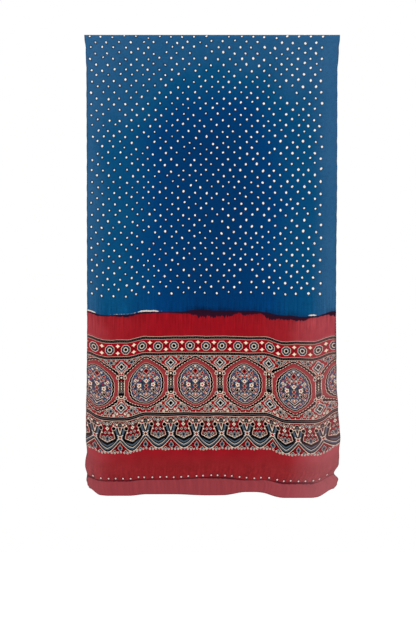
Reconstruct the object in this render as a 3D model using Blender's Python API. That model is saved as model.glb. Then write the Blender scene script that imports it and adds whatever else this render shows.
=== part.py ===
"""A bandhani stole: one length of soft cloth, hung folded in half over a bar.

Run with: blender --background --python part.py

Metres, +Z up. The stole is 0.56 m wide and 2.03 m long before it is hung. X runs across it, the
front fall faces -Y, and the back fall hangs behind it. The origin is the middle of the fold's
underside, where a bar would carry it, so the whole stole hangs below the origin but for its own
thickness.

A point of the flat cloth is named by two lengths: across, from the middle line, and along, from
the crown of the fold, positive down the front fall and negative down the back fall.
"""

import math

import bmesh
import bpy

# The flat cloth
WIDTH = 0.560
FRONT_LENGTH = 1.038
BACK_LENGTH = 0.990
THICKNESS = 0.0015

# The fold, which leaves room for a 16 mm bar
FOLD_INNER_RADIUS = 0.010
FOLD_RADIUS = FOLD_INNER_RADIUS + THICKNESS / 2
QUARTER_FOLD = FOLD_RADIUS * math.pi / 2

# The grid that the sheet is made on
COLUMNS = 26
EDGE_CROWDING = 0.5  # 0 spaces the columns evenly, 1 crowds them most at the side edges

# Stretches of cloth from the back hem to the front hem: where each one ends, and its rows
STRETCHES = (
    # end, rows
    (-0.958, 4),
    (-0.560, 9),
    (-QUARTER_FOLD, 8),
    (QUARTER_FOLD, 8),
    (0.115, 4),
    (0.570, 10),
    (0.865, 12),
    (0.980, 7),
    (1.016, 9),
    (FRONT_LENGTH, 6),
)

# Levels along the front fall where its cross-section is given, counted along the cloth
FRONT_LEVELS = (
    # name, along
    ("fold", 0.000),
    ("upper field", 0.300),
    ("last dots", 0.588),
    ("dye line", 0.634),
    ("beads", 0.705),
    ("lines", 0.862),
    ("crest", 0.932),
    ("tied line", 1.001),
    ("hem", FRONT_LENGTH),
)

# Folds of the front fall. Each one hangs lower than the cloth beside it by its drop at each level,
# and stands out by forward, in full from FOLDS_FULL down. A negative drop is cloth that is drawn up.
FRONT_FOLDS = (
    # across, flat half width, flank, forward, drop in mm at each of the front levels
    (-0.284, 0.000, 0.030, -0.0005, (0, 0, 0, -5, -5, -10, -8, -8, -15)),  # left edge
    (-0.212, 0.022, 0.042, 0.0085, (0, 0, 7, 6, 8.5, 9.5, 8.5, 3, 2.5)),  # left fold
    (0.000, 0.010, 0.075, 0.0045, (0, 0, 0, -1, 0, 0, 0, -4.5, 2)),  # middle
    (0.088, 0.010, 0.050, -0.0005, (0, 0, 0, 2, 0, 0, 0, 2, -5)),  # hollow beside it
    (0.196, 0.030, 0.050, 0.0095, (0, 0, 3, 13, 11.5, 15.5, 13, 8, 7)),  # right fold
    (0.286, 0.000, 0.045, 0.0025, (0, 0, 0, 0, -3, -12, -10, -12, -14)),  # right edge
)

BACK_LEVELS = (
    # name, along
    ("fold", 0.000),
    ("upper field", 0.300),
    ("dye line", 0.584),
    ("lines", 0.812),
    ("hem", BACK_LENGTH),
)

# Folds of the back fall, which no picture shows, so they are plain and shallow
BACK_FOLDS = (
    # across, flat half width, flank, forward, drop in mm at each of the back levels
    (-0.284, 0.000, 0.040, 0.0020, (0, 0, 0, -3, -7)),  # edge behind the front's left edge
    (-0.170, 0.025, 0.060, 0.0090, (0, 0, 4, 6, 5)),
    (0.030, 0.020, 0.070, 0.0060, (0, 0, 2, 3, 2)),
    (0.200, 0.020, 0.055, 0.0085, (0, 0, 4, 6, 4)),
    (0.284, 0.000, 0.040, -0.0005, (0, 0, 0, -3, -7)),  # edge behind the front's right edge
)

FOLDS_BEGIN, FOLDS_FULL = 0.06, 0.72  # along each fall

# Side edges of the front fall: how far each one lies from the middle line
FRONT_EDGES = (
    # along, left, right
    (0.000, 0.2870, 0.2885),
    (0.041, 0.2831, 0.2852),
    (0.095, 0.2814, 0.2818),
    (0.310, 0.2806, 0.2812),
    (0.602, 0.2800, 0.2788),
    (0.692, 0.2798, 0.2768),
    (0.785, 0.2804, 0.2790),
    (0.858, 0.2824, 0.2834),
    (0.925, 0.2824, 0.2882),
    (0.948, 0.2802, 0.2856),
    (0.980, 0.2845, 0.2852),
    (1.003, 0.2800, 0.2742),  # the tied line draws both edges in
    (1.016, 0.2812, 0.2836),
    (1.029, 0.2789, 0.2805),
    (FRONT_LENGTH, 0.2742, 0.2735),
)

BACK_EDGES = (
    # along, left, right
    (0.000, 0.2870, 0.2885),
    (0.035, 0.2838, 0.2860),
    (0.097, 0.2814, 0.2818),
    (0.550, 0.2805, 0.2805),
    (0.860, 0.2830, 0.2820),
    (0.952, 0.2780, 0.2775),
    (0.968, 0.2820, 0.2815),
    (BACK_LENGTH, 0.2740, 0.2730),
)

# The tied line above each hem: a shallow trough, below which the end strip flares out
TIED_LINE_ABOVE_HEM = 0.036
TROUGH_DEPTH = 0.0022
TROUGH_HALF_HEIGHT = 0.012
STRIP_FLARE = 0.0045


def eased(part):
    """0 to 1 with a soft start and a soft stop."""
    part = min(max(part, 0.0), 1.0)
    return part * part * (3 - 2 * part)


def between(stations, values, at):
    """Reads a value from a table with soft steps between its stations."""
    for low, high, start, stop in zip(stations, stations[1:], values, values[1:]):
        if at <= high:
            return start + (stop - start) * eased((at - low) / (high - low))
    return values[-1]


def plateau(at, centre, half_width, flank):
    """1 over a fold's flat crest, falling softly to 0 across its flank."""
    return 1 - eased((abs(at - centre) - half_width) / flank)


def swell(across, along, levels, folds):
    """How far the folds push a point forward and down."""
    stations = [station for _, station in levels]
    growth = eased((along - FOLDS_BEGIN) / (FOLDS_FULL - FOLDS_BEGIN))
    forward = drop = 0.0
    for centre, half_width, flank, height, drops in folds:
        share = plateau(across, centre, half_width, flank)
        forward += share * height * growth
        drop += share * between(stations, drops, along) / 1000
    return forward, drop


def tied_line(along, length):
    """How far the tied line sinks, or the strip below it flares."""
    above_hem = length - along
    trough = plateau(above_hem, TIED_LINE_ABOVE_HEM, 0.0, TROUGH_HALF_HEIGHT)
    flare = eased(1 - above_hem / TIED_LINE_ABOVE_HEM)
    return STRIP_FLARE * flare - TROUGH_DEPTH * trough


def edge_place(across, along, edges):
    """X of a point, from the side edges at its level."""
    stations = [row[0] for row in edges]
    left = -between(stations, [row[1] for row in edges], along)
    right = between(stations, [row[2] for row in edges], along)
    return left + (right - left) * (across / WIDTH + 0.5)


def hang(across, along):
    """Place of a flat point on the hung stole."""
    front = along >= 0
    side = -1 if front else 1
    levels, folds, edges, length = (
        (FRONT_LEVELS, FRONT_FOLDS, FRONT_EDGES, FRONT_LENGTH)
        if front
        else (BACK_LEVELS, BACK_FOLDS, BACK_EDGES, BACK_LENGTH)
    )
    run = abs(along)
    forward, drop = swell(across, run, levels, folds)
    radius = FOLD_RADIUS + forward + tied_line(run, length)
    turn = min(run, QUARTER_FOLD) / FOLD_RADIUS
    fall = max(run - QUARTER_FOLD, 0.0)
    return (
        edge_place(across, run, edges),
        side * radius * math.sin(turn),
        FOLD_RADIUS * math.cos(turn) - FOLD_INNER_RADIUS - fall - drop,
    )


def row_places():
    """Lengths along the cloth at which the grid has a row, back hem first."""
    rows = [-BACK_LENGTH]
    for end, count in STRETCHES:
        start = rows[-1]
        rows += [start + (end - start) * (i + 1) / count for i in range(count)]
    return rows


def column_places():
    """Lengths across the cloth at which the grid has a column, closer at the edges."""
    places = []
    for i in range(COLUMNS + 1):
        even = 2 * i / COLUMNS - 1
        crowded = math.sin(even * math.pi / 2)
        places.append((even + (crowded - even) * EDGE_CROWDING) * WIDTH / 2)
    return places


def cloth_material():
    """Dyed cloth: deep blue, dull and soft."""
    material = bpy.data.materials.new("stole_cloth")
    material.use_nodes = True
    shader = material.node_tree.nodes["Principled BSDF"]
    shader.inputs["Base Color"].default_value = (0.02, 0.10, 0.24, 1.0)
    shader.inputs["Roughness"].default_value = 0.75
    shader.inputs["Metallic"].default_value = 0.0
    return material


def make_stole():
    """A flat grid that is hung point by point, then given its thickness."""
    rows, columns = row_places(), column_places()
    shape = bmesh.new()
    grid = [[shape.verts.new(hang(across, along)) for across in columns] for along in rows]
    for upper, lower in zip(grid, grid[1:]):
        for i in range(COLUMNS):
            shape.faces.new((upper[i], upper[i + 1], lower[i + 1], lower[i]))
    bmesh.ops.recalc_face_normals(shape, faces=shape.faces)
    mesh = bpy.data.meshes.new("stole")
    shape.to_mesh(mesh)
    shape.free()
    mesh.shade_smooth()
    stole = bpy.data.objects.new("stole", mesh)
    bpy.context.scene.collection.objects.link(stole)
    mesh.materials.append(cloth_material())

    thickness = stole.modifiers.new("thickness", "SOLIDIFY")
    thickness.thickness = THICKNESS
    thickness.offset = 0.0
    thickness.use_even_offset = True
    return stole


for old in list(bpy.data.objects):
    bpy.data.objects.remove(old)

make_stole()
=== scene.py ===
# %% [markdown]
# # A bandhani stole, hung folded in half
#
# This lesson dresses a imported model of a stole: one long soft cloth whose blue middle is tied and
# dyed in dots, and whose red ends carry a block-printed border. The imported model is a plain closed
# sheet in the true hanging shape. Here it gets a finer sheet with gathers and puckers, and a
# material that draws the dyes, the tied dots and the print, all from short sums.
#
# The frame is loaded first, because every size and place in the lesson is read against it.

# %% Load the frame
import math

import bpy
import numpy as np
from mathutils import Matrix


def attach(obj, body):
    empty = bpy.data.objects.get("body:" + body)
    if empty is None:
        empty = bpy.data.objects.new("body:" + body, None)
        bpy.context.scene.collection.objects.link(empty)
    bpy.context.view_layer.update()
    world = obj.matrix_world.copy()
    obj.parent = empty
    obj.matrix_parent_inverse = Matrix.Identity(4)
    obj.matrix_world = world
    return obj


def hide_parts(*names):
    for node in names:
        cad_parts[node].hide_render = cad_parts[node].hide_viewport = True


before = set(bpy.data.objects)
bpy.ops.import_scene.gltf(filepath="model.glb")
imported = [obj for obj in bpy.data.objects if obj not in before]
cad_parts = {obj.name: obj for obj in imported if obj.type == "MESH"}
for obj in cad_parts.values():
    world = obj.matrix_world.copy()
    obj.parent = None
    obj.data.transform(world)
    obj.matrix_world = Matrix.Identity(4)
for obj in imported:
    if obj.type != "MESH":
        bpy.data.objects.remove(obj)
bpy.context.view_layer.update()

bpy.ops.object.select_all(action="DESELECT")

# %% [markdown]
# ## Sizes of the flat cloth
#
# A point of the flat cloth is named by two lengths: across, from the middle line, and along, from
# the crown of the fold, positive down the front and negative down the back. The print is easier to
# place from the hem, so a third length, above the hem, is worked out where it is needed.

# %% Sizes
MM = 0.001
WIDTH = 0.560
FRONT_LENGTH = 1.038
BACK_LENGTH = 0.990
FOLD_RADIUS = 0.01075
FOLD_INNER_RADIUS = 0.010
QUARTER_FOLD = FOLD_RADIUS * math.pi / 2
CLOTH_THICKNESS = 0.0007
HEM_THICKNESS = 0.0014
HEM_HEIGHT = 0.005
TIED_LINE_ABOVE_HEM = 0.036
DYE_LINE_ABOVE_HEM = 0.4055
print("flat size:", WIDTH, "by", round(FRONT_LENGTH + BACK_LENGTH, 3), "m")

# %% [markdown]
# ## Camera
#
# The stole is looked at squarely, from the height of its middle, through a long lens, so that its
# side edges stay parallel. The picture is 416 by 624, and one of its pixels is 2.2436 mm on the
# cloth, so the frame is 1.4 m high there.

# %% Camera
PICTURE_WIDTH, PICTURE_HEIGHT = 416, 624
METRES_PER_PIXEL = 0.0022436
MIDDLE_LINE_PX = 211.8
TOP_EDGE_PX = 34.0
CAMERA_DISTANCE = 3.4
SENSOR = 36.0  # the long side of the camera's sensor, in mm
CROWN_TOP = 0.001  # how far the crown of the cloth stands above the origin

view_height = PICTURE_HEIGHT * METRES_PER_PIXEL
camera_x = (PICTURE_WIDTH / 2 - MIDDLE_LINE_PX) * METRES_PER_PIXEL
camera_z = (TOP_EDGE_PX - PICTURE_HEIGHT / 2) * METRES_PER_PIXEL + CROWN_TOP
bpy.ops.object.camera_add(
    location=(camera_x, -CAMERA_DISTANCE - FOLD_RADIUS, camera_z),
    rotation=(math.pi / 2, 0, 0),
)
camera = bpy.context.object
camera.name = "camera"
camera.data.sensor_width = SENSOR
camera.data.lens = SENSOR * CAMERA_DISTANCE / view_height
bpy.context.scene.camera = camera
bpy.context.scene.view_settings.view_transform = "Standard"
print("lens:", round(camera.data.lens, 1), "mm")

# %% [markdown]
# ## Floor and light
#
# The stole hangs in front of a white background. A pale floor lies well below it, and the sky is
# plain white where the camera sees it and dimmer where it only gives light, so that the big soft
# lamps can still model the folds.

# %% Floor
FLOOR_Z = -1.42
FLOOR_SIZE = 3.2

bpy.ops.mesh.primitive_plane_add(size=FLOOR_SIZE, location=(0, 0, FLOOR_Z))
floor = bpy.context.object
floor.name = "floor"
floor_paint = bpy.data.materials.new("pale_floor")
floor_paint.use_nodes = True
floor_shader = floor_paint.node_tree.nodes["Principled BSDF"]
floor_shader.inputs["Base Color"].default_value = (0.94, 0.94, 0.94, 1)
floor_shader.inputs["Roughness"].default_value = 0.9
floor_shader.inputs["Emission Color"].default_value = (1, 1, 1, 1)
floor_shader.inputs["Emission Strength"].default_value = 0.3
floor.data.materials.append(floor_paint)

# %% Light
SKY_LIGHT = 0.43
LAMPS = (
    # name, place, size, power
    ("key", (-1.5, -2.4, 0.9), 1.6, 41),
    ("fill", (1.9, -2.2, -0.3), 1.8, 22),
    ("top", (0.0, -0.3, 1.6), 1.6, 18),
    ("back", (0.6, 2.4, 0.4), 1.8, 30),
)


def soft_lamp(name, place, size, power):
    """A square lamp that faces the middle of the stole."""
    bpy.ops.object.light_add(type="AREA", location=place)
    lamp = bpy.context.object
    lamp.name = name
    lamp.data.size = size
    lamp.data.energy = power
    middle = -FRONT_LENGTH / 2
    away = (place[0], place[1], place[2] - middle)
    level = math.hypot(away[0], away[1])
    lamp.rotation_euler = (math.atan2(level, away[2]), 0, math.atan2(away[0], -away[1]))
    return lamp


lamps = [soft_lamp(*row) for row in LAMPS]

sky = bpy.data.worlds.new("sky")
bpy.context.scene.world = sky
sky.use_nodes = True
sky_nodes, sky_links = sky.node_tree.nodes, sky.node_tree.links
sky_nodes.clear()
seen = sky_nodes.new("ShaderNodeBackground")
seen.inputs["Color"].default_value = (1, 1, 1, 1)
lit = sky_nodes.new("ShaderNodeBackground")
lit.inputs["Color"].default_value = (1, 1, 1, 1)
lit.inputs["Strength"].default_value = SKY_LIGHT
path = sky_nodes.new("ShaderNodeLightPath")
pick = sky_nodes.new("ShaderNodeMixShader")
sky_out = sky_nodes.new("ShaderNodeOutputWorld")
sky_links.new(path.outputs["Is Camera Ray"], pick.inputs["Fac"])
sky_links.new(lit.outputs[0], pick.inputs[1])
sky_links.new(seen.outputs[0], pick.inputs[2])
sky_links.new(pick.outputs[0], sky_out.inputs["Surface"])
print("lamps:", [lamp.name for lamp in lamps])

# %% [markdown]
# ## How the cloth hangs
#
# The real stole is limp. It drops straight from the bar, but its weft isn't straight: two soft
# folds hang lower than the cloth beside them, so the printed bands dip there, and both side edges
# are drawn up. Each fold is a row in a table: where it is, how wide, how far forward it stands and
# how far it drops at each level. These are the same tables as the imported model's, so the fine sheet
# lies on the solid. A simulation could hang a cloth as well, but it wouldn't put the dips where this
# stole has them.

# %% Tables of folds and edges
FRONT_LEVELS = (0.000, 0.300, 0.588, 0.634, 0.705, 0.862, 0.932, 1.001, FRONT_LENGTH)
FRONT_FOLDS = (
    # across, flat half width, flank, forward, drop in mm at each of the front levels
    (-0.284, 0.000, 0.030, -0.0005, (0, 0, 0, -5, -5, -10, -8, -8, -15)),  # left edge
    (-0.212, 0.022, 0.042, 0.0085, (0, 0, 7, 6, 8.5, 9.5, 8.5, 3, 2.5)),  # left fold
    (0.000, 0.010, 0.075, 0.0045, (0, 0, 0, -1, 0, 0, 0, -4.5, 2)),  # middle
    (0.088, 0.010, 0.050, -0.0005, (0, 0, 0, 2, 0, 0, 0, 2, -5)),  # hollow beside it
    (0.196, 0.030, 0.050, 0.0095, (0, 0, 3, 13, 11.5, 15.5, 13, 8, 7)),  # right fold
    (0.286, 0.000, 0.045, 0.0025, (0, 0, 0, 0, -3, -12, -10, -12, -14)),  # right edge
)
BACK_LEVELS = (0.000, 0.300, 0.584, 0.812, BACK_LENGTH)
BACK_FOLDS = (
    # across, flat half width, flank, forward, drop in mm at each of the back levels
    (-0.284, 0.000, 0.040, 0.0020, (0, 0, 0, -3, -7)),
    (-0.170, 0.025, 0.060, 0.0090, (0, 0, 4, 6, 5)),
    (0.030, 0.020, 0.070, 0.0060, (0, 0, 2, 3, 2)),
    (0.200, 0.020, 0.055, 0.0085, (0, 0, 4, 6, 4)),
    (0.284, 0.000, 0.040, -0.0005, (0, 0, 0, -3, -7)),
)
FOLDS_BEGIN, FOLDS_FULL = 0.06, 0.72
FRONT_EDGES = (
    # along, left, right
    (0.000, 0.2870, 0.2885),
    (0.041, 0.2831, 0.2852),
    (0.095, 0.2814, 0.2818),
    (0.310, 0.2806, 0.2812),
    (0.602, 0.2800, 0.2788),
    (0.692, 0.2798, 0.2768),
    (0.785, 0.2804, 0.2790),
    (0.858, 0.2824, 0.2834),
    (0.925, 0.2824, 0.2882),
    (0.948, 0.2802, 0.2856),
    (0.980, 0.2845, 0.2852),
    (1.003, 0.2800, 0.2742),
    (1.016, 0.2812, 0.2836),
    (1.029, 0.2789, 0.2805),
    (FRONT_LENGTH, 0.2742, 0.2735),
)
BACK_EDGES = (
    # along, left, right
    (0.000, 0.2870, 0.2885),
    (0.035, 0.2838, 0.2860),
    (0.097, 0.2814, 0.2818),
    (0.550, 0.2805, 0.2805),
    (0.860, 0.2830, 0.2820),
    (0.952, 0.2780, 0.2775),
    (0.968, 0.2820, 0.2815),
    (BACK_LENGTH, 0.2740, 0.2730),
)
TROUGH_DEPTH = 0.0022
TROUGH_HALF_HEIGHT = 0.012
STRIP_FLARE = 0.0045


def eased(part):
    """0 to 1 with a soft start and a soft stop."""
    part = np.clip(part, 0, 1)
    return part * part * (3 - 2 * part)


def between(stations, values, at):
    """Reads values from a table with soft steps between its stations."""
    stations, values = np.array(stations), np.array(values)
    low = np.clip(np.searchsorted(stations, at, side="right") - 1, 0, len(stations) - 2)
    share = eased((at - stations[low]) / (stations[low + 1] - stations[low]))
    return values[low] + (values[low + 1] - values[low]) * share


def plateau(at, centre, half_width, flank):
    """1 over a fold's flat crest, falling softly to 0 across its flank."""
    return 1 - eased((abs(at - centre) - half_width) / flank)


print("front folds:", len(FRONT_FOLDS), "back folds:", len(BACK_FOLDS))

# %% [markdown]
# ## Gathers, puckers and creases
#
# Four kinds of small relief make the cloth look tied rather than plain. Where a thread was drawn
# tight across it, at the dye line and above the hem, it keeps fine upright gathers. Every tied dot
# leaves a small peak. The plain right margin and the lower end have slanting drag creases, and a
# slow ripple runs through the whole. All are under 2 mm deep, so they are added to the fine sheet
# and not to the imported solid.

# %% Small relief
GATHER_DEPTH = 0.00055
GATHER_WAVES = (
    # wavelength, share, phase
    (0.0093, 0.40, 0.4),
    (0.0131, 0.35, 2.1),
    (0.0217, 0.45, 4.0),
)
GATHERED_LINES = (
    # above the hem, half height, flank
    (DYE_LINE_ABOVE_HEM, 0.008, 0.060),
    (TIED_LINE_ABOVE_HEM, 0.004, 0.034),
)
DOT_PITCH_ACROSS, DOT_PITCH_ALONG = 25.6 * MM, 25.0 * MM
FIRST_DOT_ACROSS, LAST_DOT_ALONG = -0.269, 0.5865
PUCKER_HEIGHT = 0.0003
RIPPLE_DEPTH = 0.0007
RIPPLE_FULL = 0.25  # along each fall
RIPPLES = (
    # turn in radians for each metre across, then along, phase, share
    (31, 9, 0.7, 1.0),
    (53, -14, 2.0, 0.8),
    (12, 37, 0.0, 0.6),
)
NIBBLE_DEPTH = 0.0004  # of the small waves in the side edges
CREASES = (
    # across, along of the upper end, then of the lower end, half width, depth
    ((0.272, 0.130), (0.236, 0.215), 0.0035, 0.0007),
    ((0.280, 0.200), (0.244, 0.262), 0.0030, 0.0006),
    ((0.279, 0.290), (0.247, 0.352), 0.0035, 0.0007),
    ((0.281, 0.372), (0.252, 0.420), 0.0030, 0.0005),
    ((-0.279, 0.905), (-0.232, 0.950), 0.0045, 0.0009),
    ((0.283, 0.932), (0.222, 0.962), 0.0045, 0.0010),
    ((0.262, 0.905), (0.240, 0.985), 0.0040, 0.0007),
    ((0.105, 0.985), (0.128, 0.955), 0.0045, 0.0008),
)


def gathers(across, above_hem):
    """Upright gathers beside the two lines where the cloth was tied across."""
    drift = 0.004 * np.sin(above_hem / 0.031 + across * 23)
    wave = sum(
        share * np.sin((across + drift) / length * 2 * math.pi + phase)
        for length, share, phase in GATHER_WAVES
    )
    near_lines = sum(plateau(above_hem, *line) for line in GATHERED_LINES)
    return wave * GATHER_DEPTH * near_lines


def puckers(across, along, above_hem):
    """Small peaks at the tied dots, on the lattice that the dots keep."""
    turn_across = (across - FIRST_DOT_ACROSS) / DOT_PITCH_ACROSS * 2 * math.pi
    turn_along = (along - LAST_DOT_ALONG) / DOT_PITCH_ALONG * 2 * math.pi
    in_field = eased((above_hem - DYE_LINE_ABOVE_HEM - 0.035) / 0.02)
    uneven = 1 + 0.4 * np.sin(across * 41 + along * 17) * np.sin(along * 29 - across * 11)
    return np.cos(turn_across) * np.cos(turn_along) * PUCKER_HEIGHT * in_field * uneven


def crease(across, along, start, stop, half_width, depth):
    """One soft straight trough between two points of the flat cloth."""
    run = np.subtract(stop, start)
    length = np.hypot(*run)
    from_start = ((across - start[0]) * run[0] + (along - start[1]) * run[1]) / length**2
    share = np.clip(from_start, 0, 1)
    away = np.hypot(across - start[0] - share * run[0], along - start[1] - share * run[1])
    return depth * (1 - eased(away / half_width)) * np.sin(math.pi * share) ** 0.5


def slow_ripple(across, along):
    """Low uneven swells, so that no stretch of the cloth is a flat plane."""
    return RIPPLE_DEPTH * sum(
        share * np.sin(across * wide + along * tall + phase) for wide, tall, phase, share in RIPPLES
    )


print("creases:", len(CREASES))

# %% [markdown]
# ## From flat cloth to hung cloth
#
# One function takes flat points and says where they hang. The crown of the fold is an arc, the
# falls go straight down from it, and the folds, the tied line and the small relief push the point
# outward, down, or in from the side.

# %% Hang the flat points
def swell(across, along, levels, folds):
    """How far the folds push points forward and down."""
    growth = eased((along - FOLDS_BEGIN) / (FOLDS_FULL - FOLDS_BEGIN))
    forward = np.zeros_like(across)
    drop = np.zeros_like(across)
    for centre, half_width, flank, height, drops in folds:
        share = plateau(across, centre, half_width, flank)
        forward += share * height * growth
        drop += share * between(levels, drops, along) * MM
    return forward, drop


def tied_line(above_hem):
    """How far the tied line sinks, or the strip below it flares."""
    trough = plateau(above_hem, TIED_LINE_ABOVE_HEM, 0.0, TROUGH_HALF_HEIGHT)
    flare = eased(1 - above_hem / TIED_LINE_ABOVE_HEM)
    return STRIP_FLARE * flare - TROUGH_DEPTH * trough


def edge_place(across, along, edges):
    """X of the points, from the side edges at their level."""
    along_edge, left, right = np.array(edges).T
    left_x = -between(along_edge, left, along)
    right_x = between(along_edge, right, along)
    return left_x + (right_x - left_x) * (across / WIDTH + 0.5)


def hang(across, along, side, levels, folds, edges, length):
    """Places of flat points on one fall. Side is -1 for the front and 1 for the back."""
    above_hem = length - along
    forward, drop = swell(across, along, levels, folds)
    relief = gathers(across, above_hem) + puckers(across, -side * along, above_hem)
    relief += slow_ripple(across, along * side) * eased(along / RIPPLE_FULL)
    if side < 0:
        for start, stop, half_width, depth in CREASES:
            relief -= crease(across, along, start, stop, half_width, depth)
    off_fold = eased((along - QUARTER_FOLD) / 0.02)
    radius = FOLD_RADIUS + forward + tied_line(above_hem) + relief * off_fold
    turn = np.minimum(along, QUARTER_FOLD) / FOLD_RADIUS
    fall = np.maximum(along - QUARTER_FOLD, 0)
    wave = np.sin(along * 210 + 3 * side) * np.sin(along * 57)
    nibble = NIBBLE_DEPTH * wave * (across / WIDTH * 2) ** 9
    return np.stack(
        (
            edge_place(across, along, edges) + nibble,
            side * radius * np.sin(turn),
            FOLD_RADIUS * np.cos(turn) - FOLD_INNER_RADIUS - fall - drop,
        ),
        axis=-1,
    )


# %% [markdown]
# ## The sheet
#
# A grid is the simplest start for cloth: its rows run across the stole and its columns down it. The
# rows crowd where there is something small to show, at the fold, the dye line and the hem. The flat
# place of every corner is kept as a UV map in metres, which the material reads, so the pattern
# follows the cloth and not the air around it. Solidify then gives the thickness, more at the hems
# where the edge is rolled, and its inner face gets a material of its own for the wrong side.

# %% Rows and columns
COLUMNS = 174
STRETCHES = (
    # end along the cloth, rows
    (-0.930, 14),
    (-0.560, 26),
    (-0.030, 43),
    (0.030, 12),
    (0.540, 80),
    (0.700, 32),
    (0.960, 32),
    (FRONT_LENGTH, 26),
)


def row_places():
    """Lengths along the cloth at which the grid has a row, back hem first."""
    rows = [-BACK_LENGTH]
    for end, count in STRETCHES:
        start = rows[-1]
        rows += [start + (end - start) * (i + 1) / count for i in range(count)]
    return np.array(rows)


rows = row_places()
print("rows:", len(rows) - 1, "columns:", COLUMNS)

# %% Make the sheet
bpy.ops.mesh.primitive_grid_add(x_subdivisions=COLUMNS, y_subdivisions=len(rows) - 1, size=1)
stole = bpy.context.object
stole.name = "stole_cloth"
mesh = stole.data

grid = np.empty(len(mesh.vertices) * 3)
mesh.vertices.foreach_get("co", grid)
grid = grid.reshape(-1, 3)
column = np.rint((grid[:, 0] + 0.5) * COLUMNS)
row = np.rint((grid[:, 1] + 0.5) * (len(rows) - 1)).astype(int)
across = (column / COLUMNS - 0.5) * WIDTH
along = rows[row]

front = along >= 0
places = np.empty_like(grid)
places[front] = hang(
    across[front], along[front], -1, FRONT_LEVELS, FRONT_FOLDS, FRONT_EDGES, FRONT_LENGTH
)
places[~front] = hang(
    across[~front], -along[~front], 1, BACK_LEVELS, BACK_FOLDS, BACK_EDGES, BACK_LENGTH
)
mesh.vertices.foreach_set("co", places.ravel())
mesh.update()
print("sheet:", len(mesh.vertices), "points")

# %% Keep each corner's flat place
flat_map = mesh.uv_layers[0]
flat_map.name = "flat_cloth"
corner_points = np.empty(len(mesh.loops), int)
mesh.loops.foreach_get("vertex_index", corner_points)
flat_places = np.stack((across, along), axis=-1)[corner_points]
flat_map.data.foreach_set("uv", flat_places.ravel())
print("flat map:", len(flat_places), "corners")

# %% Turn the faces outward
bpy.ops.object.mode_set(mode="EDIT")
bpy.ops.mesh.select_all(action="SELECT")
bpy.ops.mesh.normals_make_consistent(inside=False)
bpy.ops.object.mode_set(mode="OBJECT")
front_faces = [p for p in mesh.polygons if p.center.y < 0 and abs(p.center.z + 0.5) < 0.05]
facing = sum(p.normal.y for p in front_faces)
if facing > 0:
    mesh.flip_normals()
print("front faces look towards the viewer:", facing < 0 or "turned over")

# %% Give the sheet its thickness
hems = stole.vertex_groups.new(name="rolled_hems")
above_hem = np.where(front, FRONT_LENGTH - along, BACK_LENGTH + along)
hem_points = np.flatnonzero(above_hem < HEM_HEIGHT)
hems.add(hem_points.tolist(), 1.0, "REPLACE")

thickness = stole.modifiers.new("thickness", "SOLIDIFY")
thickness.thickness = HEM_THICKNESS
thickness.offset = 0
thickness.vertex_group = hems.name
thickness.thickness_vertex_group = CLOTH_THICKNESS / HEM_THICKNESS
thickness.material_offset = 1
bpy.ops.object.modifier_apply(modifier=thickness.name)
bpy.ops.object.shade_smooth_by_angle(angle=math.radians(50))
triangles = sum(len(p.vertices) - 2 for p in stole.data.polygons)
print("closed sheet:", triangles, "triangles")

# %% [markdown]
# ## Drawing with sums
#
# The print and the dots are drawn by the material itself. Each motif is a distance or an angle
# worked out from the flat place, and an ink is laid where that distance is small. The helpers below
# let a sum be written as a sum: adding or multiplying two amounts adds a Math node. The lesser of
# two masks (a & b) is where both hold, and the greater (a | b) is where either does. A mask may run
# past 0 and 1, for the mixing of the inks clamps it. The renderer takes the nodes in the order in
# which they are made and has little room for results that wait, so each node is made just after
# the sums that feed it. Lengths are in millimetres from here on, as a block cutter would give them.

# %% Amounts
def by_node(operation):
    """What a sign of arithmetic does to amounts: it adds one Math node."""
    return lambda *amounts: maths(operation, *amounts)


class Amount:
    """A number that the material works out at each point."""

    __add__ = __radd__ = by_node("ADD")
    __sub__ = by_node("SUBTRACT")
    __mul__ = __rmul__ = by_node("MULTIPLY")
    __truediv__ = by_node("DIVIDE")
    __abs__ = by_node("ABSOLUTE")
    __and__ = by_node("MINIMUM")
    __or__ = by_node("MAXIMUM")

    def __init__(self, socket):
        self.socket = socket

    def __rsub__(self, other):
        return maths("SUBTRACT", other, self)


def feed(tree, value, socket):
    """Links an amount or a colour to a socket, or sets the socket to a plain value."""
    if isinstance(value, Amount):
        tree.links.new(value.socket, socket)
    else:
        socket.default_value = value


def maths(operation, *values):
    """One Math node."""
    tree = next(v for v in values if isinstance(v, Amount)).socket.id_data
    node = tree.nodes.new("ShaderNodeMath")
    node.operation = operation
    for value, socket in zip(values, node.inputs):
        feed(tree, value, socket)
    return Amount(node.outputs[0])


def from_centre(a, b):
    """Distance of a point from the place where both amounts are 0."""
    return maths("SQRT", maths("MULTIPLY_ADD", a, a, b * b))


def repeated(a, pitch):
    """Distance to the nearest of a row of lines that lie a pitch apart."""
    return maths("PINGPONG", a, pitch / 2)


def below(distance, edge, softness=0.4):
    """At least 1 where the distance is less than the edge, falling past 0 across a soft border."""
    return maths("MULTIPLY_ADD", distance, -1 / softness, edge / softness + 0.5)


def beyond(distance, edge, softness=0.4):
    """At least 1 where the distance is more than the edge."""
    return maths("MULTIPLY_ADD", distance, 1 / softness, 0.5 - edge / softness)


def ring(distance, radius, half_width):
    """1 on a line round the place where the distance is 0."""
    return below(abs(distance - radius), half_width)


def ramp(a, start, stop):
    """0 at the start and 1 at the stop, with soft ends."""
    tree = a.socket.id_data
    node = tree.nodes.new("ShaderNodeMapRange")
    node.interpolation_type = "SMOOTHSTEP"
    node.clamp = False
    feed(tree, a, node.inputs["Value"])
    node.inputs["From Min"].default_value = start
    node.inputs["From Max"].default_value = stop
    return Amount(node.outputs["Result"])


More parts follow.
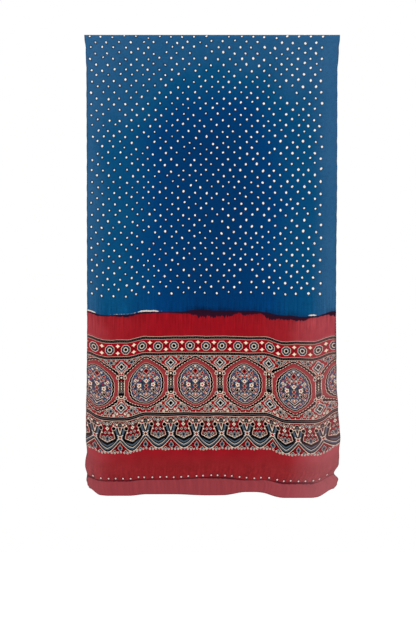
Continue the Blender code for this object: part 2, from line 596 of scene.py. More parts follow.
# %% Noise and chance
ENDLESS = 1e5  # a swell so long, in mm, that the noise doesn't change along it
CELL_KEYS = (12.9898, 78.233)  # two numbers that give each cell of a grid its own sum
SCATTER = 0.36  # of a cell's side


def noise(flat, wide, tall, seed=0.0, detail=2.0):
    """Smooth noise from about -0.5 to 0.5. Its swells are so many mm across and along."""
    tree = flat.socket.id_data
    place = tree.nodes.new("ShaderNodeMapping")
    tree.links.new(flat.socket, place.inputs["Vector"])
    place.inputs["Location"].default_value = (0, 0, seed)
    place.inputs["Scale"].default_value = (1 / (wide * MM), 1 / (tall * MM), 1)
    node = tree.nodes.new("ShaderNodeTexNoise")
    node.inputs["Scale"].default_value = 1
    node.inputs["Detail"].default_value = detail
    tree.links.new(place.outputs[0], node.inputs["Vector"])
    return Amount(node.outputs["Fac"]) - 0.5


def chance(a, b, seed=0.0):
    """Three random numbers from 0 to 1 for each whole-numbered cell."""
    tree = a.socket.id_data
    cell = maths("MULTIPLY_ADD", a, CELL_KEYS[0], b * CELL_KEYS[1] + seed)
    node = tree.nodes.new("ShaderNodeTexWhiteNoise")
    node.noise_dimensions = "1D"
    feed(tree, cell, node.inputs["W"])
    parts = tree.nodes.new("ShaderNodeSeparateColor")
    tree.links.new(node.outputs["Color"], parts.inputs[0])
    return [Amount(socket) for socket in parts.outputs]


def scattered(a, b, spacing, seed=0.0):
    """Distance to the nearest of many scattered points, and a random number for that point."""
    u, v = (a + b) / spacing, (a - b) / spacing
    cell_u, cell_v = maths("ROUND", u), maths("ROUND", v)
    luck = chance(cell_u, cell_v, seed)
    du = (u - cell_u + luck[0] * SCATTER - SCATTER / 2) * (spacing / math.sqrt(2))
    dv = (v - cell_v + luck[1] * SCATTER - SCATTER / 2) * (spacing / math.sqrt(2))
    return from_centre(du, dv), luck[2]


# %% Dyes and inks
HALF_WIDTH = 280  # of the cloth, in mm


def dye(red, green, blue):
    """A dye's colour, from the usual 0 to 255 to what a shader needs."""
    parts = [c / 255 for c in (red, green, blue)]
    linear = [c / 12.92 if c <= 0.04045 else ((c + 0.055) / 1.055) ** 2.4 for c in parts]
    return (*linear, 1.0)


def paint(under, ink, where):
    """Lays one ink over a colour, as far as where says."""
    tree = where.socket.id_data
    node = tree.nodes.new("ShaderNodeMix")
    node.data_type = "RGBA"
    feed(tree, where, node.inputs[0])
    feed(tree, under, node.inputs[6])
    feed(tree, ink, node.inputs[7])
    return Amount(node.outputs[2])


def stacked(colour, distance, *inks):
    """Lays inks one inside the other. Each is an ink and the distance out to which it reaches."""
    for ink, reach in inks:
        colour = paint(colour, ink, below(distance, reach))
    return colour


def shaded(colour, darkness):
    """The same colour, darker by a share of itself, or lighter where the share is negative."""
    darker = paint(colour, (0, 0, 0, 1), darkness)
    darker.socket.node.clamp_factor = False
    return darker


def shades(amount, stops):
    """A row of dyes that melt into each other as the amount grows from 0 to 1."""
    tree = amount.socket.id_data
    node = tree.nodes.new("ShaderNodeValToRGB")
    elements = node.color_ramp.elements
    while len(elements) < len(stops):
        elements.new(0.5)
    for element, (place, colour) in zip(elements, stops):
        element.position = place
        element.color = colour
    feed(tree, amount, node.inputs[0])
    return Amount(node.outputs[0])


def curve(x, stops, highest):
    """A curve of an amount across the stole, drawn through the listed stops."""
    tree = x.socket.id_data
    share = x / (2 * HALF_WIDTH) + 0.5
    node = tree.nodes.new("ShaderNodeFloatCurve")
    drawn = node.mapping.curves[0]
    for place, height in stops[1:-1]:
        drawn.points.new((place + HALF_WIDTH) / (2 * HALF_WIDTH), height / highest)
    drawn.points[0].location = (0.0, stops[0][1] / highest)
    drawn.points[len(stops) - 1].location = (1.0, stops[-1][1] / highest)
    node.mapping.update()
    feed(tree, share, node.inputs["Value"])
    return Amount(node.outputs[0]) * highest


# %% [markdown]
# ## The dyes of the ground
#
# The blue is deepest in the middle and paler and greyer at the sides and the top, partly uneven
# dye and partly painted light: sheen at the sides and more light towards the top. The red is the
# same: deep in the middle, paler at the selvedges, partly faded dye and partly painted sheen. Each
# is a short row of dyes that melt into each other.

# %% Ground
BLUES = (
    (0.00, dye(0, 47, 94)),
    (0.30, dye(0, 54, 104)),
    (0.60, dye(6, 70, 111)),
    (1.00, dye(42, 86, 124)),
)
REDS = (
    (0.00, dye(142, 16, 27)),
    (0.55, dye(144, 30, 38)),
    (1.00, dye(160, 64, 72)),
)
print("blues:", len(BLUES), "reds:", len(REDS))


def dye_and_sheen_paleness(flat, x, s):
    """0 in the deep middle of the cloth, 1 at its pale sides and at the fold."""
    cloudy = noise(flat, 75, 110, 3.0) * 0.35
    # Paler sides and top: partly uneven dye, partly painted sheen and painted light.
    sides = ramp(abs(x - 4), 20, 240) * 0.62 + ramp(abs(x + 6), 225, 272) * 0.3
    top = ramp(abs(s), 290, 0) * 0.8
    both = sides + top - sides * top
    return both + cloudy


def red_ground(flat, x, above):
    """Madder red, paler at the sides, partly faded dye and partly painted sheen, and a little cloudy."""
    # Paler towards the selvedges: partly faded dye, partly painted sheen.
    pale = ramp(abs(x + 30), 70, 305) + noise(flat, 60, 60, 9.0) * 0.35
    colour = shades(pale, REDS)
    cloudy = noise(flat, 22, 26, 79.0, 3.0)
    colour = paint(colour, dye(128, 58, 58), ramp(above, 110, 60) * 0.28)
    return shaded(colour, cloudy * 0.35 + ramp(above, 110, 60) * 0.12 + 0.02)


# %% [markdown]
# ## The tied dots
#
# In bandhani, thousands of tiny pinches are tied before dyeing, and each leaves a small undyed dot.
# They sit on a lattice set cornerwise: 25.6 mm along a row, rows 12.5 mm apart, every other row
# moved by half. Turning the place by the lattice makes every dot a whole-numbered cell, so one
# rounding finds the nearest dot. Chance then moves each one a little and changes its size. Round
# each dot the cloth is darker, in a dark halo.

# %% Dots
DOT_JITTER = 4.2
LEFT_DOTS, RIGHT_DOTS = -271.0, 255.0
BACK_LAST_DOTS = (FRONT_LENGTH - LAST_DOT_ALONG - BACK_LENGTH) / MM
DOT_MARGIN = 4.0
print("dots:", DOT_PITCH_ACROSS / MM, "by", DOT_PITCH_ALONG / MM, "mm")


def tied_dots(flat, x, s):
    """Distance from the nearest dot in sizes of that dot, the distance in mm, and if it's there."""
    wide, tall = DOT_PITCH_ACROSS / MM, DOT_PITCH_ALONG / MM
    first, last = FIRST_DOT_ACROSS / MM, LAST_DOT_ALONG / MM
    drift_x = noise(flat, 80, 60, 11.0) * 12
    drift_s = noise(flat, 90, 70, 17.0) * ramp(abs(s - last), 0, 120) * 14
    u, v = (x + drift_x - first) / wide, (s + drift_s - last) / tall
    a, b = u + v, u - v
    cell_a, cell_b = maths("ROUND", a), maths("ROUND", b)
    left_a, left_b = a - cell_a, b - cell_b
    luck = chance(cell_a, cell_b, 5.0)
    dx = (left_a + left_b) * (wide / 2) + (luck[0] - 0.5) * DOT_JITTER
    ds = (left_a - left_b) * (tall / 2) + (luck[1] - 0.5) * DOT_JITTER
    lean = (luck[1] - luck[0]) * 0.4
    away = from_centre(dx * 1.08 + ds * lean, ds * 0.94)
    square = maths("MAXIMUM", abs(dx + ds * 0.9), abs(dx - ds * 0.8))
    ragged = noise(flat, 1.5, 1.5, 23.0) * 1.5
    reach = away * 0.62 + square * 0.3 + ragged
    size = maths("MULTIPLY_ADD", luck[2], 0.75, ramp(x, -100, 250) * 0.4 + 1.38)
    column = (cell_a + cell_b) * (wide / 2) + first
    row_down = (cell_a - cell_b) * (tall / 2) + last
    middle = (LEFT_DOTS + RIGHT_DOTS) / 2
    kept = below(abs(column - middle), RIGHT_DOTS - middle)
    kept = kept & below(row_down, last + DOT_MARGIN)
    kept = kept & beyond(row_down, BACK_LAST_DOTS - DOT_MARGIN)
    kept = kept & beyond(luck[0] + luck[1] + luck[2], 0.5)
    return reach / size, away, maths("GREATER_THAN", kept, 0.5)


def field(flat, x, s):
    """Blue cloth with its dots, and how near the peak of a pucker the place is."""
    reach, away, kept = tied_dots(flat, x, s)
    mottle = noise(flat, 7, 7, 31.0, 3.0) * 0.4 + noise(flat, 2.4, 2.4, 37.0) * 0.7
    blue = shaded(shades(dye_and_sheen_paleness(flat, x, s), BLUES), mottle - 0.02)
    halo = ramp(away, 5.6, 2.2) * kept
    blue = shaded(blue, halo * 0.6)
    spot = below(reach, 1.0, 0.55) & kept
    heart = below(away, 0.9, 0.8) & beyond(noise(flat, 9, 9, 43.0), 0.1)
    undyed = paint(dye(252, 243, 234), dye(200, 146, 126), heart & 0.7)
    return paint(blue, undyed, spot & 0.97), halo


# %% [markdown]
# ## The dye line
#
# The two dyes meet at a clamped line about 405 mm above the hem. The line wavers, and where both dyes ran
# together they make an almost black smear that drips into the red. Where neither reached, a white
# sliver is left. The line's height, the smear and the sliver are three curves, each given as a table.

# %% Dye line
OVERDYE = dye(30, 14, 32)
LINE_STOPS = (  # across in mm, height in mm
    (-280, 0.0), (-257, 0.0), (-218, 1.0), (-180, 2.0), (-141, 2.8), (-102, 2.0),
    (-64, 2.6), (-25, 6.5), (13, 3.9), (90, 6.3), (129, 2.5), (168, 6.1), (206, 3.4),
    (226, 5.0), (245, 3.1), (280, 4.7),
)
SMEAR_STOPS = (  # across in mm, thickness in mm
    (-280, 0.6), (-262, 3.0), (-240, 1.4), (-200, 3.4), (-150, 3.0), (-105, 1.2),
    (-64, 3.0), (-40, 9.5), (-25, 14.0), (13, 13.2), (40, 11.0), (60, 6.5), (90, 8.5),
    (110, 5.0), (135, 12.0), (155, 7.0), (190, 7.5), (212, 5.5), (228, 2.5), (250, 2.0),
    (268, 7.5), (280, 9.0),
)
SLIVER_STOPS = (  # across in mm, thickness in mm
    (-280, 2.2), (-266, 2.4), (-258, 0.0), (-214, 0.4), (-172, 0.4), (-158, 2.4),
    (-128, 2.8), (-116, 0.3), (214, 0.0), (228, 2.6), (238, 0.0), (280, 0.0),
)


def dye_line_height(flat, x):
    """Height above the hem of the wavering meeting line of the two dyes."""
    return curve(x, LINE_STOPS, 8.0) + noise(flat, 9, ENDLESS, 41.0) * 2.4 + DYE_LINE_ABOVE_HEM / MM


def dye_line(colour, flat, x, down):
    """Smear and slivers. Down is how far below the meeting line the place is."""
    drips = noise(flat, 9, 60, 43.0) * 1.9 + noise(flat, 3.4, 40, 47.0) * 1.0
    smear = curve(x, SMEAR_STOPS, 14.0) * (drips + 0.95 | 0.4)
    # Painted shade beside the meeting line, deepest where the smear is thick.
    colour = shaded(colour, ramp(abs(down), 14, 1) * smear * 0.035)
    smeared = beyond(down, -1.2, 1.2) & below(down - smear, 0.0, 1.6)
    colour = paint(colour, OVERDYE, smeared & 0.95)
    thickness = curve(x, SLIVER_STOPS, 3.0) * (noise(flat, 5, ENDLESS, 53.0) * 3.4 + 0.9)
    bare = below(abs(down + 2.6) - thickness * 0.6, 0.0, 0.9) & beyond(thickness, 0.5)
    return paint(colour, dye(226, 212, 196), bare & 0.85)


# %% [markdown]
# ## The inks of the border
#
# The border is block-printed: resist paste keeps the cream, iron gives the black, indigo the
# slate blue and madder the red. Every motif below starts from its ground and lays inks in the
# order in which they cover each other.

# %% Inks of the print
CREAM = dye(218, 198, 178)
BLACK = dye(8, 5, 8)
SLATE = dye(68, 84, 98)
INDIGO = dye(30, 60, 92)
RED = dye(142, 10, 24)
RING_RED = dye(128, 28, 36)
DARK_RED = dye(92, 2, 12)
GREY = dye(80, 74, 78)
PALE_SLATE = dye(100, 120, 132)


def flower(colour, dx, dy, radius, petals, petal_ink, heart_ink):
    """A small flower with a dark outline and a cream rim. Petals is the number of lobes."""
    away = from_centre(dx, dy)
    lobes = maths("COSINE", maths("ARCTAN2", dy, dx) * petals)
    reach = away * (1.16 - lobes * 0.16)
    rims = ((BLACK, radius + 1.2), (CREAM, radius), (petal_ink, radius - 0.7))
    return stacked(stacked(colour, reach, *rims), away, (heart_ink, radius * 0.36))


def bunch(colour, side, up, flowers):
    """Lays a table of small flowers."""
    for place, height, radius, petals, petal_ink, heart_ink in flowers:
        colour = flower(colour, side - place, up - height, radius, petals, petal_ink, heart_ink)
    return colour


# %% [markdown]
# ### Bead lines and rosettes
#
# One line of beads runs above a row of round rosettes and one below it. A pair of cream stars
# stands between neighbours, one against each bead line.

# %% Beads and rosettes
BEAD_PITCH = 3.9
ROSETTE_PITCH = 36.1
ROSETTE_PLACE = -11.7
print("rosettes:", ROSETTE_PITCH, "mm apart")


def bead_line(x, v):
    """A black line of beads between two cream ones. v is the height above its middle."""
    colour = paint(CREAM, BLACK, below(abs(v), 3.0))
    return paint(colour, GREY, below(from_centre(repeated(x, BEAD_PITCH), v), 0.8))


def rosettes(x, v):
    """Round rosettes and the stars between them."""
    side = repeated(x - ROSETTE_PLACE, ROSETTE_PITCH)
    gap = ROSETTE_PITCH / 2 - side
    up = abs(v)
    away = from_centre(side, v)
    eighths = maths("COSINE", maths("ARCTAN2", v, side) * 8)
    bow = abs(up - gap * 0.8)
    colour = paint(RED, DARK_RED, below(bow, 1.2) & below(gap, 9))
    star = maths("POWER", gap / 5.6, 0.7) + maths("POWER", abs(up - 7.7) / 4.8, 0.7)
    colour = paint(colour, dye(236, 214, 190), below(star, 1.0, 0.12))
    edge = away + eighths * 0.35
    colour = stacked(colour, edge, (CREAM, 10.5), (SLATE, 9.6))
    colour = paint(colour, BLACK, ring(away, 7.5, 1.3) & below(eighths, 0.6, 0.8))
    return stacked(colour, away, (CREAM, 5.2), (BLACK, 3.7))


# %% [markdown]
# ### Medallions
#
# On the line of a pointed oval, a power of the way across and a power of the way up add up to 1.
# A low power across gives the point at top and bottom, and a high one up gives the full sides.
# Folding the place at the pitch draws every medallion, both its halves and the posts between from
# one half.

# %% Medallions
MEDALLIONS_ABOVE = 250.0
MEDALLION_PITCH = 110.4
MEDALLION_PLACE = -36.2
OUTER_OVAL = (61.4, 58.4, (1.05, 2.1), 38)  # half width, half height, powers, scale
HEART_OVAL = (38.6, 46.0, (1.3, 2.5), 26)
POST_HALF_WIDTH = 6.6
POST_HALF_HEIGHT = 31.9
HEART_FLOWERS = (
    # side, up, radius, petals, petals' ink, heart's ink
    (0.0, 25.9, 6.8, 4, RED, BLACK),
    (0.0, 14.3, 3.4, 4, RED, RED),
    (0.0, 3.4, 5.0, 4, CREAM, RED),
    (0.0, -7.0, 4.6, 4, RED, RED),
    (0.0, -15.3, 4.6, 4, BLACK, RED),
    (0.0, -26.0, 4.8, 4, RED, CREAM),
    (15.5, -4.5, 5.4, 5, CREAM, RED),
    (16.3, -16.6, 4.0, 4, BLACK, BLACK),
    (10.6, 13.7, 4.0, 4, RED, RED),
    (15.8, 22.7, 4.0, 4, RED, RED),
    (29.0, -2.4, 3.6, 4, RED, DARK_RED),
    (25.5, -15.3, 2.9, 4, RED, RED),
    (20.3, -21.0, 3.0, 4, RED, RED),
    (24.5, 11.0, 3.6, 4, CREAM, BLACK),
)
SPANDREL_FLOWERS = (
    # side, up, radius, petals, petals' ink, heart's ink
    (32.5, 53.8, 5.4, 3, SLATE, BLACK),
    (21.0, 57.2, 3.2, 4, SLATE, SLATE),
    (42.5, 57.4, 2.8, 4, SLATE, CREAM),
    (44.5, 36.5, 2.6, 4, SLATE, SLATE),
)
print("medallions:", MEDALLION_PITCH, "mm apart")


def pointed_oval(side, up, half_width, half_height, powers, scale):
    """Distance outward from a pointed oval, which the scale brings to about millimetres."""
    wide = maths("POWER", side / half_width, powers[0])
    high = maths("POWER", up / half_height, powers[1])
    return (wide + high) * scale - scale


def medallion_heart(side, v, inside):
    """The floral field inside a medallion. Inside is the distance in from its outline."""
    near, luck = scattered(side, v, 9.6, 2.0)
    colour = paint(INDIGO, CREAM, below(near, 2.5))
    colour = paint(colour, RED, below(near, 2.6) & below(luck, 0.27))
    colour = paint(colour, BLACK, below(near, 2.9) & beyond(luck, 0.76))
    colour = bunch(colour, side, v, HEART_FLOWERS)
    chevron = abs(v - side * 0.75 + 37.0)
    colour = paint(colour, CREAM, below(chevron, 3.2) & below(side, 13))
    colour = paint(colour, BLACK, below(chevron, 2.0) & below(side, 13))
    return stacked(colour, inside, (INDIGO, 6.4), (CREAM, 4.3), (BLACK, 3.4))


def post(from_post, v):
    """The beaded post between two medallions."""
    bead = from_centre(from_post - 3.2, repeated(v + 1.2, 5.6))
    colour = paint(CREAM, BLACK, ring(bead, 1.8, 1.3))
    colour = paint(colour, BLACK, ring(v, 14.3, 2.1))
    colour = paint(colour, RED, ring(v, 14.3, 0.8) & below(from_post, 2.2))
    colour = paint(colour, BLACK, ring(v, -16.2, 3.2))
    colour = paint(colour, GREY, ring(v, -10.6, 1.8))
    jar = from_centre(from_post, v - 20.6)
    head = stacked(RED, jar, (CREAM, 6.4), (BLACK, 5.6), (CREAM, 2.2))
    colour = paint(colour, head, beyond(v, 16.4))
    bowl = from_centre(from_post, v + 20.0)
    foot = stacked(RED, bowl, (CREAM, 6.2), (BLACK, 4.6), (CREAM, 1.6))
    return paint(colour, foot, below(v, -19.4))


def buds(colour, from_post, v):
    """Two buds at each end of a post."""
    bud = from_centre(from_post - 8.6, abs(v + 2) - 22.5)
    return stacked(colour, bud, (CREAM, 3.6), (SLATE, 2.6), (BLACK, 1.3))


def diamond(colour, from_post, up):
    """The four-petalled flower above or below a post."""
    away = from_centre(from_post, up)
    lobes = maths("COSINE", maths("ARCTAN2", up, from_post) * 4)
    reach = away * (1.2 - lobes * 0.2)
    colour = stacked(colour, reach, (RED, 15.8), (CREAM, 13.4), (PALE_SLATE, 12.3))
    colour = paint(colour, BLACK, ring(reach, 8.4, 0.8))
    colour = paint(colour, CREAM, ring(reach, 6.3, 0.9))
    colour = paint(colour, BLACK, ring(away, 7.0, 1.5) & below(lobes, -0.2))
    return paint(colour, BLACK, below(reach, 4.3))


def medallions(x, v):
    """The widest band of the border. v is the height above the medallions' centres."""
    side = repeated(x - MEDALLION_PLACE, MEDALLION_PITCH)
    up = abs(v)
    from_post = MEDALLION_PITCH / 2 - side
    near, luck = scattered(side, v, 13.0, 7.0)
    colour = stacked(RED, near, (DARK_RED, 4.1), (CREAM, 3.1))
    colour = paint(colour, SLATE, below(near, 2.4) & below(luck, 0.85))
    colour = paint(colour, BLACK, below(near, 1.4) & below(luck, 0.5))
    colour = bunch(colour, side, up, SPANDREL_FLOWERS)

    angle = maths("ARCTAN2", v, side)
    outer = pointed_oval(side, up, *OUTER_OVAL)
    wavy = outer + maths("COSINE", angle * 44) * 0.7
    colour = stacked(colour, wavy, (CREAM, 2.8), (BLACK, 2.0), (CREAM, -3.4))
    colour = paint(colour, RING_RED, below(outer, -4.1))
    hatch = maths("SINE", angle * 90) * maths("SINE", outer * 2.4)
    colour = paint(colour, dye(190, 96, 96), beyond(hatch, 0.3) & below(outer, -4.8) & 0.5)
    colour = paint(colour, DARK_RED, ring(outer, -6.2, 0.6) & 0.8)

    knot = abs(v + 1.5) - POST_HALF_HEIGHT
    arm = abs(from_post - abs(knot)) * 0.72 + ramp(abs(knot), 7, 9) * 9
    colour = stacked(colour, arm, (CREAM, 2.4), (RED, 1.8))
    colour = diamond(colour, from_post, abs(v + 0.7) - 45.3)
    in_post = from_post - POST_HALF_WIDTH | knot + 5.0 | from_post + knot + 1.0
    colour = paint(colour, CREAM, below(in_post, 0.7))
    colour = paint(colour, post(from_post, v), below(in_post, 0.0))
    colour = buds(colour, from_post, v)
    colour = paint(colour, CREAM, below(from_post + abs(knot), 2.0))

    heart_line = pointed_oval(side, abs(v + 2), *HEART_OVAL)
    inside = maths("COSINE", angle * 26) * 0.55 - heart_line
    colour = paint(colour, CREAM, beyond(inside, -1.1))
    heart = medallion_heart(side, v, inside)
    return paint(colour, heart, beyond(inside, -0.5))


# %% [markdown]
# ### The crest
#
# Below two black lines hangs a row of urn-shaped cups, with straps that cross between them. Two
# outlines are worked out: the cup's own, and the outer one of the straps. The room between them is
# then filled in slices of black, slate and cream.

# %% Crest
CREST_PITCH = 56.0
CREST_PLACE = -64.3
CROSSING = 135.9
CUP_POINT = 114.2
HOOK_HEIGHT = 157.0
CUP_FLOWERS = (
    # side, above the hem, radius, petals, petals' ink, heart's ink
    (7.6, 137.0, 3.2, 4, SLATE, BLACK),
    (10.8, 131.5, 2.0, 4, CREAM, CREAM),
    (4.2, 147.2, 2.8, 4, SLATE, SLATE),
    (0.0, 156.9, 4.0, 4, CREAM, SLATE),
    (0.0, 166.6, 4.6, 5, SLATE, CREAM),
    (7.4, 168.4, 3.2, 4, SLATE, SLATE),
)
CROSSING_FLOWERS = (
    # distance from the crossing, above the hem, radius, petals, petals' ink, heart's ink
    (0.0, 164.4, 7.0, 5, BLACK, GREY),
    (6.8, 165.6, 2.6, 4, CREAM, CREAM),
    (0.0, 155.8, 5.0, 4, BLACK, RED),
    (0.0, 149.4, 3.2, 4, BLACK, CREAM),
    (12.0, 168.4, 3.0, 4, SLATE, SLATE),
    (12.2, 103.9, 3.9, 4, SLATE, SLATE),
    (20.4, 102.6, 3.4, 4, SLATE, CREAM),
)
print("cups:", CREST_PITCH, "mm apart")


def crest(x, above):
    """Cups, straps and flowers. Heights are above the hem."""
    side = repeated(x - CREST_PLACE, CREST_PITCH)
    from_crossing = CREST_PITCH / 2 - side
    near, luck = scattered(side, above, 8.4, 13.0)
    colour = paint(RED, DARK_RED, below(near, 2.6))
    colour = paint(colour, CREAM, below(near, 1.7) & below(luck, 0.4))
    colour = paint(colour, BLACK, below(near, 1.9) & beyond(luck, 0.5))
    colour = flower(colour, side * 1.6, above - 134.0, 7.4, 4, SLATE, BLACK)
    colour = bunch(colour, side, above, CUP_FLOWERS)
    colour = bunch(colour, from_crossing, above, CROSSING_FLOWERS)
    colour = flower(colour, from_crossing * 1.5, above - 112.0, 7.6, 4, SLATE, BLACK)

    rise = above - CROSSING
    strap_side = maths("MULTIPLY_ADD", rise, 0.0071, -0.471) * rise + 27.5
    sweep = maths("MULTIPLY_ADD", side, 0.013, 0.40) * side + CUP_POINT
    half_width = 7.4 - ramp(side, 6, 28) * 3.0
    under = (sweep - above) * 0.8
    cup_side = 18.4 - ramp(above, 134, 158) * 5.6
    cup = side - cup_side | under + half_width
    outer = under - half_width - 1.2 | side - strap_side - 3.4
    figure = outer | above - HOOK_HEIGHT - 1.5

    lower = below(rise, -3)
    strap = paint(BLACK, SLATE, below(outer, -3.1))
    strap = paint(strap, CREAM, below(outer, -6.0) & lower)
    strap = paint(strap, BLACK, below(outer, -6.9) & lower)
    strap = paint(strap, SLATE, below(outer, -9.6) & lower)
    strap = paint(strap, BLACK, below(cup, 3.8))
    colour = paint(colour, CREAM, below(figure, 1.1) & beyond(cup, -2.4))
    colour = paint(colour, strap, below(figure, 0.0) & beyond(cup, -1.6))
    hook = from_centre(side - 14.2, above - HOOK_HEIGHT)
    colour = stacked(colour, hook, (CREAM, 4.8), (BLACK, 4.2))
    cross = abs(from_crossing - abs(rise)) * 0.72 + ramp(abs(rise), 6, 8) * 9
    colour = paint(colour, CREAM, below(cross, 0.9))
    knot = from_crossing + abs(rise)
    return stacked(colour, knot, (CREAM, 5.0), (RED, 3.6))


def fringe(colour, x, above):
    """The leafy lower edge of the crest, and where the print covers the red cloth."""
    wave = maths("COSINE", (x - CREST_PLACE) * (4 * math.pi / CREST_PITCH))
    edge = above - wave * 1.0 - 101.8
    leaf = from_centre(repeated(x, CREST_PITCH / 8) * 1.1, edge)
    colour = stacked(colour, leaf, (CREAM, 2.2), (SLATE, 1.3))
    return colour, beyond(edge, 0.9) | below(leaf, 2.2)


def black_lines(v):
    """Two thin black lines with grey between them and cream outside."""
    ground = paint(CREAM, GREY, below(abs(v), 2.4))
    return paint(ground, BLACK, ring(abs(v), 2.35, 1.7))


# %% [markdown]
# ## The tied line above the hem
#
# A last row of pinches, 16.5 mm apart, was tied straight across the end, and the dye gathered in a
# dark line just under it. Below it the strip is a pinker red, with faint streaks of painted shade
# from its soft pleats.

# %% Tied line
HEM_DOT_PITCH = 16.5
HEM_DOTS_ABOVE = 38.0
HEM_DOTS_OVER_LINE = 5.0
HEM_LINE_STOPS = (  # across in mm, thickness in mm
    (-280, 5.0), (-268, 3.0), (-250, 1.6), (-200, 2.2), (-150, 1.8), (-60, 1.6), (-18, 1.8),
    (0, 2.8), (60, 2.4), (95, 1.0), (125, 1.0), (150, 2.8), (225, 3.4), (240, 0.6),
    (280, 0.8),
)
print("hem dots:", HEM_DOT_PITCH, "mm apart")


def tied_hem(colour, flat, x, above):
    """Dots, dark line and pinker strip at the end of the cloth."""
    line = HEM_DOTS_ABOVE - HEM_DOTS_OVER_LINE + noise(flat, 40, ENDLESS, 61.0) * 3
    strip = shades(ramp(x, 20, 290), ((0, dye(138, 55, 61)), (1, dye(148, 68, 74))))
    colour = paint(colour, strip, below(above - line, 0.0, 1.5))
    thickness = curve(x, HEM_LINE_STOPS, 5.0) * (noise(flat, 6, ENDLESS, 67.0) * 2.4 + 1.35)
    dark = below(abs(above - line) - thickness * 0.5, 0.0, 1.0)
    colour = paint(colour, dye(58, 12, 24), dark & 0.85)
    number = maths("ROUND", x / HEM_DOT_PITCH)
    luck = chance(number, number, 71.0)
    dx = x - number * HEM_DOT_PITCH + (luck[0] - 0.5) * 4
    away = from_centre(dx, above - line - HEM_DOTS_OVER_LINE + (luck[1] - 0.5) * 2)
    away = away + noise(flat, 1.5, 1.5, 73.0) * 1.0
    colour = shaded(colour, ramp(away, 4.8, 2.2) * 0.45)
    return paint(colour, dye(216, 192, 188), below(away, 1.75, 0.7))


# %% [markdown]
# ## The whole cloth
#
# The bands are stacked by their height above the hem. Everything printed is read through a little
# warp, so that no line is quite straight, as with hand-held blocks. The red end is paler at both
# sides, partly faded dye and partly painted sheen, and the cloth is a little darker along its edges
# and at the fold, painted shade where it turns away. The fine gathers near the tied lines get
# painted shade too. The wrong side is the same cloth, paler, because dye and print sit on the face.

# %% Bands
BANDS = {
    # name: (lowest, highest) in mm above the hem
    "crest": (98.0, 174.2),
    "lines": (174.2, 183.8),
    "medallions": (183.8, 310.4),
    "lower beads": (310.4, 317.6),
    "rosettes": (317.6, 346.8),
    "upper beads": (346.8, 354.0),
}


def middle_of(name):
    """Height above the hem of a band's middle."""
    return sum(BANDS[name]) / 2


def in_band(above, name):
    """1 within a band of the border."""
    low, high = BANDS[name]
    return below(abs(above - middle_of(name)), (high - low) / 2)


def border(colour, x, above):
    """The printed border, laid over the plain red cloth."""
    leaves, covered = fringe(crest(x, above), x, above)
    colour = paint(colour, leaves, in_band(above, "crest") & covered)
    colour = paint(colour, black_lines(above - middle_of("lines")), in_band(above, "lines"))
    colour = paint(colour, medallions(x, above - MEDALLIONS_ABOVE), in_band(above, "medallions"))
    for name in ("lower beads", "upper beads"):
        beads = bead_line(x, above - middle_of(name))
        colour = paint(colour, beads, in_band(above, name))
    return paint(colour, rosettes(x, above - middle_of("rosettes")), in_band(above, "rosettes"))


print("bands:", ", ".join(BANDS))

# %% Cloth material
FADE_AND_SHEEN_PINK = dye(176, 128, 130)
WRONG_SIDE = dye(206, 198, 198)
WRONG_SIDE_PALENESS = 0.16
PALENESS = "paleness"
WEAVE_TURN = 11.0  # of the wave that stands for the threads, in radians for each mm


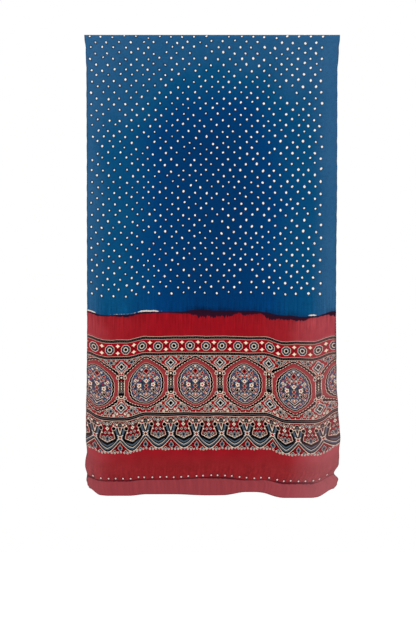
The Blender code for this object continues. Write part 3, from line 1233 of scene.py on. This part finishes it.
def cloth_material(name):
    """The stole's dyed and printed cloth, as its face."""
    material = bpy.data.materials.new(name)
    material.use_nodes = True
    tree = material.node_tree
    shader = tree.nodes["Principled BSDF"]

    unfolded = tree.nodes.new("ShaderNodeUVMap")
    unfolded.uv_map = "flat_cloth"
    flat = Amount(unfolded.outputs[0])
    parts = tree.nodes.new("ShaderNodeSeparateXYZ")
    tree.links.new(flat.socket, parts.inputs[0])
    x = Amount(parts.outputs[0]) / MM
    s = Amount(parts.outputs[1]) / MM
    longer_front = maths("GREATER_THAN", s, 0) * ((FRONT_LENGTH - BACK_LENGTH) / MM)
    above = longer_front + BACK_LENGTH / MM - abs(s)

    blue, halo = field(flat, x, s)
    down = dye_line_height(flat, x) - above
    colour = paint(blue, red_ground(flat, x, above), beyond(down, 0.0, 1.0))
    near_dye_line = ramp(abs(down), 70, 5)
    near_tied_line = ramp(abs(above - HEM_DOTS_ABOVE), 40, 8)
    # Painted shade of the fine gathers and crinkles by the dye line and the tied line; the gathers also
    # go into the bump.
    gathered = noise(flat, 3.6, 60, 97.0) * (near_dye_line + near_tied_line * 0.6)
    painted_crinkle_shade = noise(flat, 5, 6, 113.0, 3.0) * near_tied_line
    colour = shaded(colour, gathered * 1.2 + painted_crinkle_shade * 0.7)
    colour = dye_line(colour, flat, x, down)

    printed_x = x + noise(flat, 12, 12, 83.0, 3.0) * 1.6
    printed_above = above + noise(flat, 12, 12, 89.0, 3.0) * 1.6
    printed_above = printed_above + noise(flat, 80, 300, 107.0) * 6
    colour = border(colour, printed_x, printed_above)
    colour = tied_hem(colour, flat, x, above)
    # Painted shade of soft upright pleats in the strip below the tied line.
    in_strip = ramp(above, HEM_DOTS_ABOVE - 4, HEM_DOTS_ABOVE - 8)
    colour = shaded(colour, noise(flat, 6, 80, 109.0, 3.0) * in_strip * 0.5)

    # Paler, milkier red end towards both selvedges: partly faded dye and partly painted sheen.
    red_end = BANDS["upper beads"][1] + 2
    fade_and_sheen_veil = ramp(abs(x + 30), 190, 290) & below(above, red_end, 6)
    colour = paint(colour, FADE_AND_SHEEN_PINK, fade_and_sheen_veil * 0.17)
    # Painted shade: a narrow darker band along the selvedges, the hems and the crown of the fold, where
    # the cloth turns away.
    edge = HALF_WIDTH - abs(x) & above & abs(s) + 0.4
    colour = shaded(colour, ramp(edge, 3.2, 0.6) * 0.35)
    paleness = tree.nodes.new("ShaderNodeValue")
    paleness.name = PALENESS
    paleness.outputs[0].default_value = 0
    colour = paint(colour, WRONG_SIDE, Amount(paleness.outputs[0]))
    tree.links.new(colour.socket, shader.inputs["Base Color"])

    creases = noise(flat, 6, 6, 101.0, 3.0) * (ramp(down, -20, -40) * 0.9 + 0.3)
    weave = maths("SINE", x * WEAVE_TURN) * maths("SINE", s * WEAVE_TURN)
    height = halo * 0.6 + creases + gathered * 0.8 + weave * 0.03
    bump = tree.nodes.new("ShaderNodeBump")
    bump.inputs["Strength"].default_value = 0.5
    bump.inputs["Distance"].default_value = 0.001
    tree.links.new(height.socket, bump.inputs["Height"])
    tree.links.new(bump.outputs[0], shader.inputs["Normal"])
    shader.inputs["Roughness"].default_value = 0.68
    shader.inputs["Specular IOR Level"].default_value = 0.02
    return material


face = cloth_material("stole_face")
wrong_side = face.copy()
wrong_side.name = "stole_wrong_side"
wrong_side.node_tree.nodes[PALENESS].outputs[0].default_value = WRONG_SIDE_PALENESS
stole.data.materials.append(face)
stole.data.materials.append(wrong_side)
print("nodes:", [len(m.node_tree.nodes) for m in stole.data.materials])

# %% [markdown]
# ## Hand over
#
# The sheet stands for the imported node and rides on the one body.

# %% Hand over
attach(stole, "root")
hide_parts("stole")
